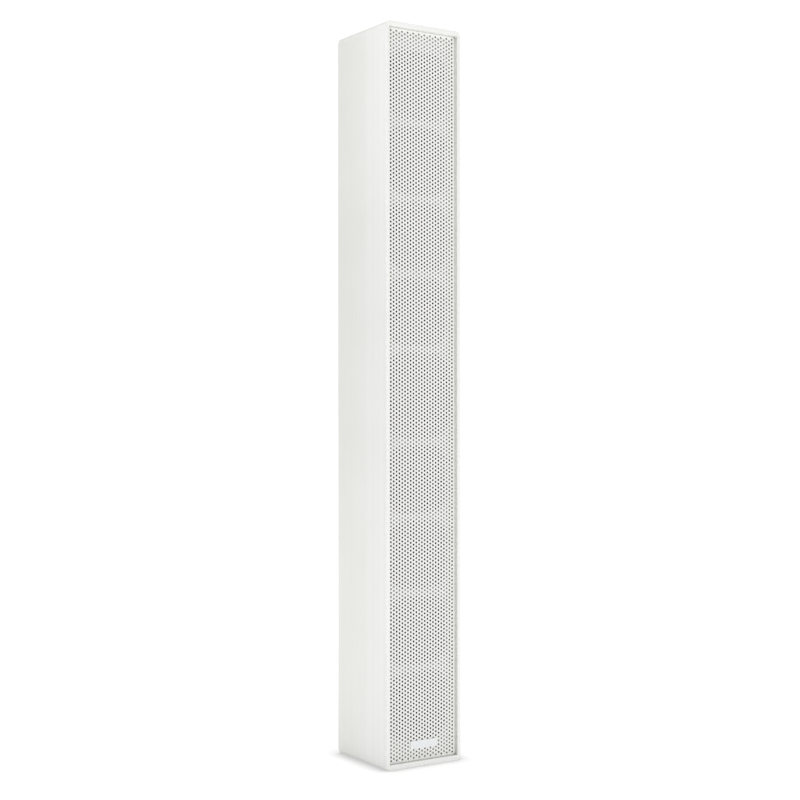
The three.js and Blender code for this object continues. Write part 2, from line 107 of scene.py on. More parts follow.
# ---- outlines
def four_corners(x, z, middle=0.0):
    return [(sx * x, middle + sz * z) for sx in (-1, 1) for sz in (-1, 1)]


def circle(radius, count, x=0.0, z=0.0):
    steps = [2 * math.pi * i / count for i in range(count)]
    return [(x + radius * math.cos(a), z + radius * math.sin(a)) for a in steps]


def fillet(points, radius, steps=4, closed=True):
    """The outline with each corner rounded. radius is one number, or one for each point."""
    radii = radius if isinstance(radius, (list, tuple)) else [radius] * len(points)
    rounded = []
    for i, point in enumerate(points):
        is_end = not closed and i in (0, len(points) - 1)
        if is_end or radii[i] == 0:
            rounded.append(tuple(point))
            continue
        corner = Vector(point)
        to_last = Vector(points[i - 1]) - corner
        to_next = Vector(points[(i + 1) % len(points)]) - corner
        reach = min(radii[i], 0.45 * to_last.length, 0.45 * to_next.length)
        start = corner + to_last.normalized() * reach
        end = corner + to_next.normalized() * reach
        for s in range(steps + 1):
            t = s / steps
            rounded.append(tuple(start * (1 - t) ** 2 + corner * 2 * t * (1 - t) + end * t ** 2))
    return rounded


def rounded_box(width, height, radius, x=0.0, z=0.0, steps=6):
    """A rectangle with round corners."""
    corners = []
    for i, (sx, sz) in enumerate(((1, 1), (-1, 1), (-1, -1), (1, -1))):
        cx = x + sx * (width / 2 - radius)
        cz = z + sz * (height / 2 - radius)
        for s in range(steps + 1):
            angle = (i + s / steps) * math.pi / 2
            corners.append((cx + radius * math.cos(angle), cz + radius * math.sin(angle)))
    return corners


def reach_of(angle, power):
    """How far a superellipse of unit half axes reaches in one direction."""
    c, s = abs(math.cos(angle)), abs(math.sin(angle))
    return (c ** power + s ** power) ** (-1 / power)


def soft_square(width, height, power):
    outline = []
    for i in range(SIDES):
        angle = 2 * math.pi * i / SIDES
        reach = reach_of(angle, power)
        outline.append((reach * math.cos(angle) * width / 2, reach * math.sin(angle) * height / 2))
    return outline


def ribbon(path, thickness):
    """The closed outline of a sheet of even thickness along a path of (radius, y) points."""
    left, right = [], []
    for i, point in enumerate(path):
        last = Vector(path[max(i - 1, 0)])
        following = Vector(path[min(i + 1, len(path) - 1)])
        along = (following - last).normalized()
        across = Vector((-along.y, along.x)) * thickness / 2
        here = Vector(point)
        left.append(here + across)
        right.append(here - across)
        if point[0] == 0:
            left[-1].x = right[-1].x = 0
    return [tuple(p) for p in left + right[::-1]]


# ---- mesh building
def link(name, data):
    obj = bpy.data.objects.new(name, data)
    bpy.context.scene.collection.objects.link(obj)
    return obj


@contextmanager
def editing(obj):
    """The object's mesh as a bmesh, written back afterwards."""
    mesh = bmesh.new()
    mesh.from_mesh(obj.data)
    yield mesh
    mesh.to_mesh(obj.data)
    mesh.free()


def tidy(obj):
    """Merges the seams, turns the faces outwards, and shades smooth between the sharp edges."""
    with editing(obj) as mesh:
        bmesh.ops.remove_doubles(mesh, verts=mesh.verts, dist=MERGE)
        bmesh.ops.recalc_face_normals(mesh, faces=mesh.faces)
        for face in mesh.faces:
            face.smooth = True
        for edge in mesh.edges:
            edge.smooth = edge.is_manifold and edge.calc_face_angle(math.pi) < SMOOTH_ANGLE
    return obj


def built(name, vertices, faces):
    mesh = bpy.data.meshes.new(name)
    mesh.from_pydata(vertices, [], faces)
    return tidy(link(name, mesh))


def applied(obj):
    """Replaces the object's data by what its modifiers, or its curve, make of it."""
    shaped = obj.evaluated_get(bpy.context.evaluated_depsgraph_get())
    mesh = bpy.data.meshes.new_from_object(shaped)
    if obj.type == "MESH":
        obj.modifiers.clear()
        obj.data = mesh
        return obj
    name = obj.name
    bpy.data.objects.remove(obj)
    return link(name, mesh)


def extruded(name, outline, length, holes=(), bevel=0.0, rounds=2):
    """A solid from an XY outline with holes, from z = 0 to length, with its end edges rounded."""
    curve = bpy.data.curves.new(name, "CURVE")
    curve.dimensions = "2D"
    curve.fill_mode = "BOTH"
    curve.extrude = length / 2 - bevel
    curve.bevel_depth = bevel
    curve.bevel_resolution = rounds
    curve.offset = -bevel
    for loop in (outline, *holes):
        spline = curve.splines.new("POLY")
        spline.points.add(len(loop) - 1)
        spline.use_cyclic_u = True
        for point, (x, y) in zip(spline.points, loop):
            point.co = (x, y, 0, 1)
    obj = applied(link(name, curve))
    obj.data.transform(Matrix.Translation((0, 0, length / 2)))
    return tidy(obj)


def panel(name, outline, y_front, y_back, holes=(), bevel=0.0, rounds=2):
    """A solid from a front-view (XZ) outline, between two depths."""
    obj = extruded(name, outline, y_back - y_front, holes, bevel, rounds)
    turn = Matrix.Translation((0, y_back, 0)) @ Matrix.Rotation(math.pi / 2, 4, "X")
    obj.data.transform(turn)
    return obj


def turned(name, profile, sides=SIDES):
    """A body turned about the Y axis from (radius, y) points: closed, or from axis to axis."""
    vertices, rings = [], []
    for radius, y in profile:
        first = len(vertices)
        if radius == 0:
            rings.append([first] * sides)
            vertices.append((0, y, 0))
            continue
        rings.append(list(range(first, first + sides)))
        vertices += [(x, y, z) for x, z in circle(radius, sides)]
    if profile[0][0] > 0:
        rings.append(rings[0])
    faces = []
    for low, high in zip(rings, rings[1:]):
        for i in range(sides):
            j = (i + 1) % sides
            corners = list(dict.fromkeys((low[i], low[j], high[j], high[i])))
            if len(corners) > 2:
                faces.append(corners)
    return built(name, vertices, faces)


def turned_mm(name, radius, *points, steps=2, sides=SIDES, closed=True):
    """A turned body with rounded corners, all in millimetres."""
    return turned(name, fillet(mm(*points), radius * MM, steps, closed), sides)


def turned_sheet(name, thickness, *points):
    """A turned sheet of even thickness, all in millimetres."""
    return turned(name, ribbon(mm(*points), thickness * MM))


def boxed(name, size, middle, bevel=0.0, turn=0.0):
    """A block with rounded edges, turned about Y. Its size and bevel are in millimetres."""
    width, depth, height = (value * MM for value in size)
    bevel *= MM
    outline = rounded_box(width, height, max(bevel, 0.02 * min(width, height)), steps=3)
    obj = panel(name, outline, -depth / 2, depth / 2, bevel=bevel)
    obj.data.transform(Matrix.Translation(middle) @ Matrix.Rotation(turn, 4, "Y"))
    return obj


def combined(obj, others, operation):
    """Cuts the object with others, or joins them to it. The others are used up."""
    for other in others:
        modifier = obj.modifiers.new("combine", "BOOLEAN")
        modifier.operation = operation
        modifier.solver = "EXACT"
        modifier.object = other
    obj = applied(obj)
    for other in others:
        bpy.data.objects.remove(other)
    return tidy(obj)


def gathered(name, objects):
    """One object from several, each kept as a body of its own."""
    mesh = bmesh.new()
    for obj in objects:
        part = obj.data.copy()
        part.transform(obj.matrix_basis)
        mesh.from_mesh(part)
        bpy.data.meshes.remove(part)
        bpy.data.objects.remove(obj)
    data = bpy.data.meshes.new(name)
    mesh.to_mesh(data)
    mesh.free()
    return link(name, data)


def moved(obj, x=0.0, y=0.0, z=0.0, turn=None):
    """Moves the mesh itself, after an optional turn."""
    obj.data.transform(Matrix.Translation((x, y, z)) @ (turn or Matrix.Identity(4)))
    return obj


def twin(obj, x=0.0, y=0.0, z=0.0, turn=None):
    """A moved copy of the object with a mesh of its own."""
    return moved(link(obj.name, obj.data.copy()), x, y, z, turn)


# ---- material nodes
class Finish:
    """A Principled material with short calls for the nodes used here."""

    def __init__(self, name, metallic=0.0):
        self.material = bpy.data.materials.new(name)
        self.material.use_nodes = True
        self.nodes = self.material.node_tree.nodes
        self.links = self.material.node_tree.links
        self.shader = self.nodes["Principled BSDF"]
        self.fix("Metallic", metallic)
        # Object coordinates, shifted for each copy so that no two carry the same marks.
        chance = self.node("ShaderNodeObjectInfo").outputs["Random"]
        shift = self.node("ShaderNodeCombineXYZ", {"Y": chance, "Z": chance})
        self.place = self.node("ShaderNodeVectorMath", {
            0: self.node("ShaderNodeTexCoord").outputs["Object"], 1: shift.outputs[0]},
            operation="ADD").outputs[0]

    def fix(self, socket, value):
        self.shader.inputs[socket].default_value = value

    def node(self, kind, inputs=(), **settings):
        made = self.nodes.new(kind)
        for key, value in settings.items():
            setattr(made, key, value)
        for socket, value in dict(inputs).items():
            if isinstance(value, bpy.types.NodeSocket):
                self.links.new(value, made.inputs[socket])
            else:
                made.inputs[socket].default_value = value
        return made

    def math(self, operation, first, second=0.5, clamp=False):
        return self.node("ShaderNodeMath", {0: first, 1: second}, operation=operation,
                         use_clamp=clamp).outputs[0]

    def noise(self, size, detail=2.0, stretch=(1, 1, 1)):
        """Noise whose lumps are about size metres across, stretched along the axes."""
        scale = tuple(1 / (size * s) for s in stretch)
        grid = self.node("ShaderNodeMapping", {"Vector": self.place, "Scale": scale})
        return self.node("ShaderNodeTexNoise", {
            "Vector": grid.outputs[0], "Scale": 1.0, "Detail": detail}).outputs["Fac"]

    def spread(self, factor, low, high, start=0.3, end=0.7):
        """The factor's usual span start..end carried over to low..high."""
        return self.node("ShaderNodeMapRange", {
            "Value": factor, "From Min": start, "From Max": end,
            "To Min": low, "To Max": high}).outputs[0]

    def blend(self, factor, first, second):
        """A mix of two colours, each of them a tuple or a socket."""
        first, second = ((*c, 1.0) if isinstance(c, tuple) else c for c in (first, second))
        return self.node("ShaderNodeMix", {0: factor, 6: first, 7: second},
                         data_type="RGBA").outputs[2]

    def patches(self, size, detail, light, dark):
        """Soft patches of two close colours."""
        return self.blend(self.spread(self.noise(size, detail), 0.0, 1.0), light, dark)

    def axes(self, vector=None):
        """The X, Y and Z of a vector, or else of the unshifted object coordinates."""
        vector = vector or self.node("ShaderNodeTexCoord").outputs["Object"]
        return self.node("ShaderNodeSeparateXYZ", {0: vector}).outputs

    def bands(self, along, scale, detail):
        """Noise that varies along one value only."""
        return self.node("ShaderNodeTexNoise", {"W": along, "Scale": scale, "Detail": detail},
                         noise_dimensions="1D").outputs["Fac"]

    def ripple(self, along, width):
        """Even half-round ridges of one width."""
        turn = self.math("MULTIPLY", along, math.pi / width)
        return self.math("ABSOLUTE", self.math("SINE", turn, 0.0))

    def wear_and_highlight_edges(self, radius, amount):
        """A factor that rises towards the outer edges: rubbed wear on black paint, a painted
        highlight on the white coat.
        """
        soft = self.node("ShaderNodeBevel", {"Radius": radius}, samples=4)
        flat = self.node("ShaderNodeNewGeometry")
        meet = self.node("ShaderNodeVectorMath", {
            0: soft.outputs[0], 1: flat.outputs["Normal"]}, operation="DOT_PRODUCT")
        turn = self.math("SUBTRACT", 1.0, meet.outputs["Value"])
        return self.math("MULTIPLY", turn, amount, clamp=True)

    def paint(self, colour, roughness, *layers):
        """Links the colour, the roughness, and bump layers of (height, depth), the last on top."""
        normal = None
        for height, depth in layers:
            inputs = {"Height": height, "Distance": depth, "Strength": 1.0}
            if normal:
                inputs["Normal"] = normal
            normal = self.node("ShaderNodeBump", inputs).outputs[0]
        for socket, value in (("Base Color", colour), ("Roughness", roughness), ("Normal", normal)):
            self.links.new(value, self.shader.inputs[socket])
        return self


def plain_finish(name, light, dark, roughness, patch, grain, depth, metallic=0.0):
    """Two close colours in soft patches, with a fine grain in roughness and relief."""
    f = Finish(name, metallic)
    fine = f.noise(grain * MM, 3.0)
    return f.paint(f.patches(patch * MM, 4.0, light, dark),
                   f.spread(fine, roughness - 0.06, roughness + 0.06), (fine, depth * MM))


def powder_coat(name, light, dark, extrusion=False):
    """White satin powder coat, lightened along its edges by a painted highlight that also stands
    for thinner paint there. The extrusion also has faint drawing lines, painted shade that darkens
    its sides towards the back, and painted shade on its inward faces."""
    f = Finish(name)
    peel = f.noise(0.9 * MM, 2.0)
    speck = f.noise(0.25 * MM, 2.0)
    tone = f.spread(f.noise(90 * MM, 3.0), 0.0, 0.5)
    layers = [(peel, 0.010 * MM), (speck, 0.004 * MM)]
    if extrusion:
        place = f.axes()
        lines = f.bands(f.math("ADD", place["X"], place["Y"]), 110.0, 3.0)
        # Painted shade: the first two layers darken the sides towards the back, smoothly and then
        # in a step, where less light falls; the third adds the drawing lines.
        for layer in (f.spread(place["Y"], -0.15, 0.25, FRONT, BACK),
                      f.spread(place["Y"], 0.0, 0.4, -15 * MM, -7 * MM),
                      f.spread(lines, -0.30, 0.30)):
            tone = f.math("ADD", tone, layer)
        layers.insert(0, (lines, 0.05 * MM))
    painted = f.blend(tone, light, dark)
    if extrusion:
        # Painted shade: faces that look inwards, the walls of the front recess and the inside, are
        # blended to a grey.
        facing = f.axes(f.node("ShaderNodeNewGeometry").outputs["Normal"])
        inward_x = f.math("MULTIPLY", place["X"], facing["X"])
        inward_z = f.math("MULTIPLY", f.math("SUBTRACT", place["Z"], MIDDLE), facing["Z"])
        inward = f.math("MAXIMUM", f.spread(inward_x, 1.0, 0.0, -0.04, -0.02),
                        f.spread(inward_z, 1.0, 0.0, -0.40, -0.20))
        painted = f.blend(inward, painted, (0.72, 0.72, 0.69))
    # Painted highlight: the edges are lightened, which also stands for thinner paint there.
    rubbed = f.wear_and_highlight_edges(0.5 * MM, 0.35)
    f.fix("Specular IOR Level", 0.45)
    return f.paint(f.blend(rubbed, painted, tuple(min(1.0, c * 1.06) for c in light)),
                   f.spread(speck, 0.42, 0.54), *layers)


def black_coat(name):
    """Black paint on sheet steel, rubbed to a grey sheen on its edges."""
    f = Finish(name)
    fine = f.noise(0.6 * MM, 3.0)
    base = f.patches(14 * MM, 4.0, (0.016, 0.016, 0.017), (0.026, 0.026, 0.027))
    return f.paint(f.blend(f.wear_and_highlight_edges(0.35 * MM, 1.2), base, (0.09, 0.09, 0.09)),
                   f.spread(fine, 0.38, 0.52), (fine, 0.02 * MM))


def ring_finish(name, light, dark, roughness, pitch, depth):
    """Turned metal, with fine rings about the Y axis."""
    f = Finish(name, 1.0)
    place = f.axes()
    squares = [f.math("POWER", place[axis], 2.0) for axis in "XZ"]
    rings = f.bands(f.math("SQRT", f.math("ADD", *squares)), 1 / pitch, 2.0)
    return f.paint(f.patches(9 * MM, 4.0, light, dark),
                   f.spread(rings, roughness - 0.08, roughness + 0.1), (rings, depth))


def woven_finish(name, light, dark, thread):
    """An open cotton weave, stiff with resin."""
    f = Finish(name)
    cloth = f.math("MULTIPLY", *[f.ripple(f.axes(f.place)[axis], thread) for axis in "XZ"])
    tone = f.math("ADD", f.math("MULTIPLY", cloth, 0.6), f.spread(f.noise(5 * MM, 3.0), 0.0, 0.4))
    f.fix("Sheen Weight", 0.15)
    return f.paint(f.blend(tone, dark, light), f.spread(f.noise(1 * MM), 0.75, 0.9),
                   (cloth, 0.12 * MM))


def felted_cone(name):
    """Matt black cone: fine fibres, with a slight lighter bloom."""
    f = Finish(name)
    fibre = f.noise(0.35 * MM, 4.0, (3, 1, 3))
    return f.paint(f.patches(6 * MM, 5.0, (0.020, 0.020, 0.021), (0.034, 0.034, 0.036)),
                   f.spread(fibre, 0.55, 0.75), (fibre, 0.05 * MM))


def wound_wire(name):
    """Enamelled copper, close turns around the Y axis."""
    f = Finish(name, 0.9)
    return f.paint(f.patches(3 * MM, 3.0, (0.50, 0.19, 0.08), (0.34, 0.11, 0.05)),
                   f.spread(f.noise(1 * MM), 0.28, 0.42),
                   (f.ripple(f.axes()["Y"], 0.25 * MM), 0.08 * MM))


# Colours, roughness, then the size of the patches and of the grain and its depth in millimetres.
PLAIN = {
    "white_board": ((0.88, 0.88, 0.86), (0.85, 0.85, 0.83), 0.72, 30, 0.5, 0.03),
    "badge_plate": ((0.865, 0.872, 0.895), (0.835, 0.842, 0.868), 0.38, 8, 0.3, 0.01),
    "ferrite_steel": ((0.055, 0.055, 0.060), (0.030, 0.030, 0.033), 0.62, 7, 0.5, 0.06),
    "rubber": ((0.020, 0.020, 0.020), (0.014, 0.014, 0.015), 0.66, 5, 0.4, 0.03),
    "black_plastic": ((0.019, 0.019, 0.021), (0.029, 0.029, 0.031), 0.48, 11, 0.35, 0.03),
    "circuit_board": ((0.022, 0.14, 0.06), (0.015, 0.10, 0.045), 0.36, 9, 0.8, 0.02),
    "film_blue": ((0.03, 0.08, 0.22), (0.02, 0.055, 0.16), 0.34, 10, 0.6, 0.02),
    "ceramic": ((0.72, 0.71, 0.68), (0.60, 0.59, 0.56), 0.7, 4, 0.3, 0.05),
    "brass": ((0.70, 0.50, 0.20), (0.55, 0.38, 0.14), 0.3, 4, 0.4, 0.01, 1.0),
}
OTHERS = {
    # The white aluminium's dark colour is also the warm painted shade towards the back of the
    # sides.
    "white_aluminium": (powder_coat, (0.885, 0.886, 0.876), (0.836, 0.842, 0.802), True),
    "white_steel": (powder_coat, (0.868, 0.865, 0.847), (0.846, 0.844, 0.826)),
    "black_steel": (black_coat,),
    "zinc_steel": (ring_finish, (0.62, 0.62, 0.60), (0.50, 0.51, 0.52), 0.32, 0.4 * MM, 0.02 * MM),
    "titanium": (ring_finish, (0.55, 0.54, 0.52), (0.42, 0.41, 0.40), 0.3, 0.5 * MM, 0.01 * MM),
    "black_cone": (felted_cone,),
    "spider_cloth": (woven_finish, (0.52, 0.33, 0.13), (0.24, 0.13, 0.05), 0.6 * MM),
    "copper": (wound_wire,),
}
FINISHES = {key: plain_finish(f"{key}_finish", *values) for key, values in PLAIN.items()}
for key, (maker, *values) in OTHERS.items():
    FINISHES[key] = maker(f"{key}_finish", *values)


def dress(obj, slot, finish=None):
    """Gives the piece its slot, and the finish of that name or another."""
    obj.data.materials.clear()
    obj.data.materials.append(FINISHES[finish or slot].material)


def install(obj, slot, *replaced, body="cabinet", finish=None):
    """Gives the piece its slot and its body, and hides the CAD nodes it stands for."""
    dress(obj, slot, finish)
    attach(obj, body)
    if replaced:
        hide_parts(*replaced)


# ---- screws
def pan_screw(head, height, shank, length):
    """A cross-recess pan-head screw on the Y axis, with its head in front of y = 0."""
    profile = [(0, -height), (0.55 * head, -height), (head, -0.55 * height), (head, 0),
               (shank, 0), (shank, length - shank), (0, length)]
    body = turned("screw", fillet(profile, 0.35 * height, closed=False), 32)
    size = 1.1 * head / MM
    blades = [boxed("blade", (size, size, 0.24 * size), (0, -height, 0), turn=turn)
              for turn in (0, math.pi / 2)]
    return combined(body, blades, "DIFFERENCE")


def sunk_screw(head, depth, shank, length):
    """A countersunk screw on the Y axis, with its head flush with y = 0 and a hexagon socket."""
    profile = [(0, 0), (head, 0), (head, 0.12 * depth), (shank, depth),
               (shank, length - shank), (0, length)]
    body = turned("screw", fillet(profile, 0.1 * depth, closed=False), 32)
    socket = panel("socket", circle(0.45 * head, 6), -depth, 0.75 * depth)
    return combined(body, [socket], "DIFFERENCE")


def countersink(head, depth, shank, length):
    """A cutter on the Y axis for a countersunk screw that is driven towards +Y."""
    play = 0.1 * MM
    return turned("sink", [
        (0, -1 * MM), (head + play, -1 * MM), (head + play, 0.1 * depth),
        (shank + play, depth), (shank + play, length), (0, length)], 32)


def screw_set(name, screw, places, turn=None):
    """Copies of the screw in one object. The screw itself is used up."""
    screws = [twin(screw, *place, turn) for place in places]
    bpy.data.objects.remove(screw)
    return gathered(name, screws)


DRIVER_SCREW = (3.3 * MM, 1.9 * MM, 1.6 * MM, 14 * MM)
SOCKET_SCREW = (2.5 * MM, 1.5 * MM, 1.3 * MM, 7 * MM)
CAP_HEAD = (4.6 * MM, 2.6 * MM, 2.0 * MM)
PLATE_HEAD = (2.8 * MM, 1.6 * MM)


# ---- cabinet
def section_outline():
    """The extrusion's section: a U that is open at the front, with square ports in its corners."""
    near, far = BAFFLE_HIGH.y, INNER_BACK
    right = [
        (HALF_WIDTH, BACK), (HALF_WIDTH, FRONT), (INNER_HALF, FRONT), (INNER_HALF, near),
        (INNER_HALF - PORT, near), (INNER_HALF - PORT, near + PORT), (INNER_HALF, near + PORT),
        (INNER_HALF, far - PORT), (INNER_HALF - PORT, far - PORT), (INNER_HALF - PORT, far),
    ]
    radii = [RIM_RADIUS, RIM_RADIUS, 0.5 * MM] + [0.8 * MM] * 7
    left = [(-x, y) for x, y in reversed(right)]
    return fillet(right + left, radii + radii[::-1], steps=5)


def rear_screw_places():
    """The terminal plate's six screws, in the lip around its window."""
    x = PLATE_HIGH.x - SCREW_INSET
    rise = PLATE_HEIGHT / 2 - SCREW_INSET
    return [(side * x, BACK, PLATE_MIDDLE + row * rise) for side in (-1, 1) for row in (-1, 0, 1)]


def round_window_edge(obj):
    """Breaks the window's sharp edge in the rear face."""
    reach = PLATE_HIGH.x - PLATE_LIP
    near = 10 * MERGE
    with editing(obj) as mesh:
        edges = [e for e in mesh.edges if e.is_manifold and e.calc_face_angle(0) > 1
                 and all(abs(v.co.y - BACK) < near and abs(v.co.x) < reach + near
                         and v.co.z < PLATE_HIGH.z for v in e.verts)]
        bmesh.ops.bevel(mesh, geom=edges, offset=0.5 * MM, segments=3, affect="EDGES", profile=0.5)
    return tidy(obj)


def make_body():
    holes = [circle(PORT_HOLE, 24, x, y) for x, y in PORT_PLACES]
    length = BODY_HIGH.z - BODY_LOW.z
    body = extruded("body_extrusion", section_outline(), length, holes, SEAM, 1)
    moved(body, z=BODY_LOW.z)
    outlines = [rounded_box(PLATE_WIDTH - 2 * PLATE_LIP, PLATE_HEIGHT - 2 * PLATE_LIP, 3 * MM,
                            z=PLATE_MIDDLE)]
    for place in map(centre, INSERTS):
        outlines.append(circle(4.45 * MM, 40, place.x, place.z))
    cutters = [panel("hole", outline, INNER_BACK - MM, BACK + MM) for outline in outlines]
    cutters += [moved(countersink(*PLATE_HEAD, 1.5 * MM, 12 * MM), *place, REARWARD)
                for place in rear_screw_places()]
    body = combined(body, cutters, "DIFFERENCE")
    install(round_window_edge(body), "white_aluminium", "cabinet_body")


def cap_shape(name, low, high, facing):
    """A slab with its outer left and right edges rounded, cut off flat at the body."""
    beyond = 4 * MM
    inner, outer = (low, high) if facing > 0 else (high, low)
    start = inner - facing * beyond
    outline = [(-HALF_WIDTH, start), (HALF_WIDTH, start)]
    for side in (1, -1):
        for step in range(13)[::side]:
            angle = step / 12 * math.pi / 2
            outline.append((side * (HALF_WIDTH - CAP_RADIUS * (1 - math.cos(angle))),
                            outer - facing * CAP_RADIUS * (1 - math.sin(angle))))
    slab = panel(name, outline, FRONT, BACK, bevel=RIM_RADIUS, rounds=4)
    with editing(slab) as mesh:
        geometry = mesh.verts[:] + mesh.edges[:] + mesh.faces[:]
        sliced = bmesh.ops.bisect_plane(mesh, geom=geometry, plane_co=(0, 0, inner),
                                        plane_no=(0, 0, -facing), clear_outer=True)
        rim = [e for e in sliced["geom_cut"] if isinstance(e, bmesh.types.BMEdge)]
        bmesh.ops.edgenet_fill(mesh, edges=rim)
    return tidy(slab)


def make_caps():
    for node, facing in (("top_cap", 1), ("bottom_cap", -1)):
        low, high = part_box(node)
        outer = high.z if facing > 0 else low.z
        inward = Matrix.Rotation(-facing * math.pi / 2, 4, "X")
        places = [(x, y, outer) for x, y in PORT_PLACES]
        cutters = [moved(countersink(*CAP_HEAD, 12 * MM), *place, inward) for place in places]
        cap = cap_shape(f"{node}_plate", low.z, high.z, facing)
        install(combined(cap, cutters, "DIFFERENCE"), "white_aluminium", node)
        screw = sunk_screw(*CAP_HEAD, 16 * MM)
        install(screw_set(f"{node}_screws", screw, places, inward), "zinc_steel")


# ---- grille
PITCH = 5 * MM
COLUMN = PITCH * math.sqrt(3) / 2
HOLE = 1.41 * MM
SHEET = 1.0 * MM
BEND = 0.52 * MM
GRILLE_HALF = GRILLE_HIGH.x + 0.2 * MM
GRILLE_RISE = (GRILLE_HIGH.z - GRILLE_LOW.z) / 2 + 0.2 * MM
FOLD_HALF = GRILLE_HALF - SHEET / 2 - BEND
FOLD_RISE = GRILLE_RISE - SHEET / 2 - BEND
BEND_LINES = [BEND * math.pi / 2 * step / 4 for step in range(5)]
BEND_LINES.append(BEND_LINES[-1] + GRILLE_HIGH.y - GRILLE_LOW.y - SHEET / 2 - BEND)
LAST_COLUMN = 11
LAST_ROW = 187
FRONT_SIDES = 8
REAR_SIDES = 6


def folded(distance, fold):
    """Where a flat distance ends up on the bent sheet's middle: its offset, depth and turn."""
    beyond = abs(distance) - fold
    if beyond <= 0:
        return distance, 0.0, 0.0
    turn = min(beyond / BEND, math.pi / 2)
    offset = fold + BEND * math.sin(turn)
    depth = BEND * (1 - math.cos(turn)) + max(0.0, beyond - BEND * math.pi / 2)
    return math.copysign(offset, distance), depth, math.copysign(turn, distance)


class PerforatedSheet:
    """A folded sheet with staggered holes. Its flat pattern is made of hexagons around the holes,
    on a grid of thirds of a column across and half pitches up."""

    def __init__(self):
        self.points = []
        self.found = {}
        self.faces = []

    def vertex(self, layer, across, up, key=None):
        """The vertex at a flat place in the front (1) or rear (-1) layer."""
        key = (layer, key or (across, up))
        if key not in self.found:
            self.found[key] = len(self.points)
            x, x_depth, x_turn = folded(across, FOLD_HALF)
            z, z_depth, z_turn = folded(up, FOLD_RISE)
            normal = Vector((math.sin(x_turn) * math.cos(z_turn),
                             -math.cos(x_turn) * math.cos(z_turn),
                             math.cos(x_turn) * math.sin(z_turn)))
            if normal.length < 1e-6:
                normal = Vector((math.sin(x_turn), 0, 0))
            middle = Vector((x, GRILLE_LOW.y + SHEET / 2 + x_depth + z_depth, MIDDLE + z))
            self.points.append(middle + normal.normalized() * layer * SHEET / 2)
        return self.found[key]

    def corner(self, layer, column_third, row):
        across = column_third * COLUMN / 3
        return self.vertex(layer, across, row * PITCH / 2, (column_third, row))

    def ring(self, layer, column, row, sides):
        """A hole's edge, as a polygon of the round hole's area."""
        even = math.sqrt(2 * math.pi / sides / math.sin(2 * math.pi / sides))
        edge = circle(HOLE * even, sides, column * COLUMN, row * PITCH / 2)
        return [self.vertex(layer, *place) for place in edge]

    def bridge(self, outer, inner, turn=1):
        """Triangles between two rings that start at angle 0, turned over if turn is -1."""
        i = j = 0
        while i < len(outer) or j < len(inner):
            a, b = outer[i % len(outer)], inner[j % len(inner)]
            if (i + 0.5) / len(outer) <= (j + 0.5) / len(inner):
                i += 1
                self.faces.append((a, outer[i % len(outer)], b)[::turn])
            else:
                j += 1
                self.faces.append((a, inner[j % len(inner)], b)[::turn])

    def cell(self, column, row):
        """The hexagon around one hole, in both layers, and the hole's wall."""
        hexagon = ((2, 0), (1, 1), (-1, 1), (-2, 0), (-1, -1), (1, -1))
        rings = []
        for layer, sides in ((1, FRONT_SIDES), (-1, REAR_SIDES)):
            edge = [self.corner(layer, 3 * column + a, row + b) for a, b in hexagon]
            rings.append(self.ring(layer, column, row, sides))
            self.bridge(edge, rings[-1], layer)
        self.bridge(*rings)

    def fill(self, *places):
        """One face in each layer between vertices given as grid corners."""
        for layer in (1, -1):
            self.faces.append([self.corner(layer, *place) for place in places][::layer])

    def strip(self, line, side, up):
        """Faces from a line of grid corners over the bend to the sheet's edge, on the side given by
        side (-1 or 1) or else by up."""
        for layer in (1, -1):
            lines = [[self.corner(layer, *place) for place in line]]
            for beyond in BEND_LINES:
                flat = [(side * (FOLD_HALF + beyond) if side else third * COLUMN / 3,
                         up * (FOLD_RISE + beyond) if up else row * PITCH / 2)
                        for third, row in line]
                lines.append([self.vertex(layer, *place) for place in flat])
            for near, far in zip(lines, lines[1:]):
                for face in zip(near, near[1:], far[1:], far):
                    self.faces.append(face[::layer])

    def close_edges(self):
        """Joins the two layers along the sheet's outer edges."""
        used = set()
        for face in self.faces:
            used.update(zip(face, [*face[1:], face[0]]))
        rear = {front: self.found[(-1, key)] for (layer, key), front in self.found.items()
                if layer > 0 and (-1, key) in self.found}
        for a, b in used:
            if (b, a) not in used and a in rear and b in rear:
                self.faces.append((b, a, rear[a], rear[b]))


def make_grille():
    sheet = PerforatedSheet()
    for column in range(-LAST_COLUMN, LAST_COLUMN + 1):
        top = LAST_ROW - (column + 1) % 2
        for row in range(-top, top + 1, 2):
            sheet.cell(column, row)
    side = 3 * LAST_COLUMN + 2
    edge = LAST_ROW + 1
    for row in range(1 - edge, edge - 1, 2):
        sheet.fill((side, row), (side, row + 2), (side - 1, row + 1))
        sheet.fill((-side, row + 2), (-side, row), (1 - side, row + 1))
    for third in range(3 * (1 - LAST_COLUMN), 3 * LAST_COLUMN, 6):
        top = [(third + 2, edge), (third - 2, edge), (third - 1, edge - 1), (third + 1, edge - 1)]
        sheet.fill(*top)
        sheet.fill(*[(2 * third - across, -row) for across, row in top])
    for end in (-1, 1):
        for up in (-1, 1):
            corners = [(end * side, up * edge), (end * (side - 1), up * edge),
                       (end * side, up * (edge - 1))]
            sheet.fill(*corners[::end * up])
    rows = [-edge, *range(1 - edge, edge, 2), edge]
    odd = range(-LAST_COLUMN, LAST_COLUMN + 1, 2)
    thirds = [-side, *(3 * column + step for column in odd for step in (-1, 1)), side]
    sheet.strip([(side, row) for row in rows[::-1]], 1, 0)
    sheet.strip([(-side, row) for row in rows], -1, 0)
    sheet.strip([(third, edge) for third in thirds], 0, 1)
    sheet.strip([(third, -edge) for third in thirds[::-1]], 0, -1)
    sheet.close_edges()
    install(built("grille_sheet", sheet.points, sheet.faces), "white_steel", "grille")


